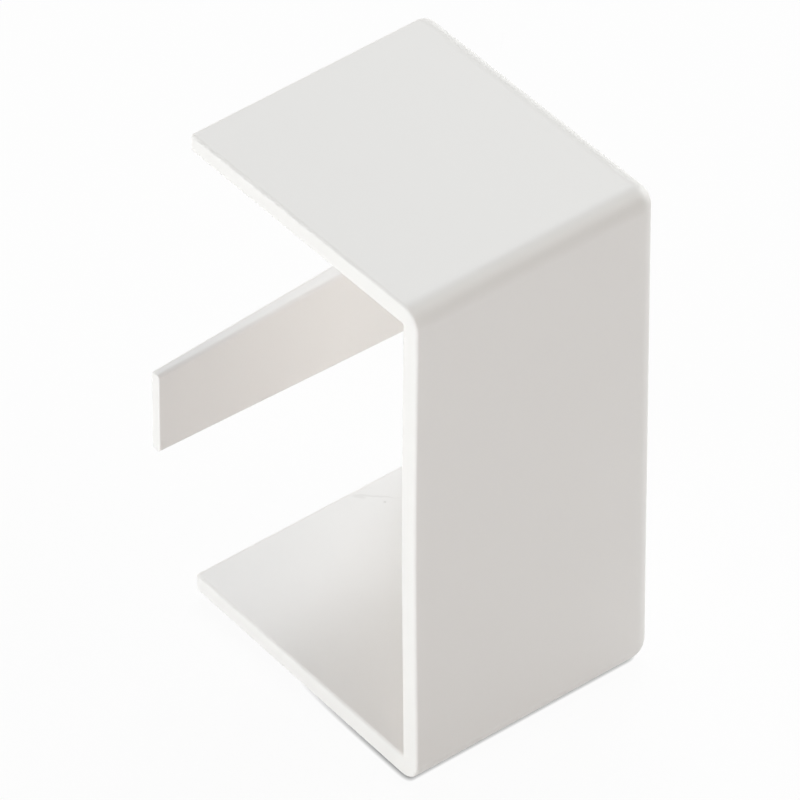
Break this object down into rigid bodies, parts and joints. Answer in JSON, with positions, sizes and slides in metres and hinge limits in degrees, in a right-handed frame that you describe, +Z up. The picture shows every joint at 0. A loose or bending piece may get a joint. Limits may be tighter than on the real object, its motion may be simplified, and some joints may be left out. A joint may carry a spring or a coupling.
{
  "type": "trunking end cap",
  "caption": "Box-shaped end cap for surface trunking, with a rounded lid face, an open mouth and back, and a flat tongue that runs out into the trunking.",
  "frame": {"origin": "centre of the bounding box at its lowest level, the tongue counted", "axes": "+X along the trunking towards the closed end, so the mouth and the tongue face -X; +Y from the lid face to the open back, which lies on the building wall in use; +Z up across the trunking, as the part stands in the picture"},
  "size_m": [0.0266, 0.0252, 0.0438],
  "materials": {
    "rigid_pvc": "satin, as moulded, white"
  },
  "bodies": {
    "root": {"end_cap": "rigid_pvc"}
  },
  "joints": []
}
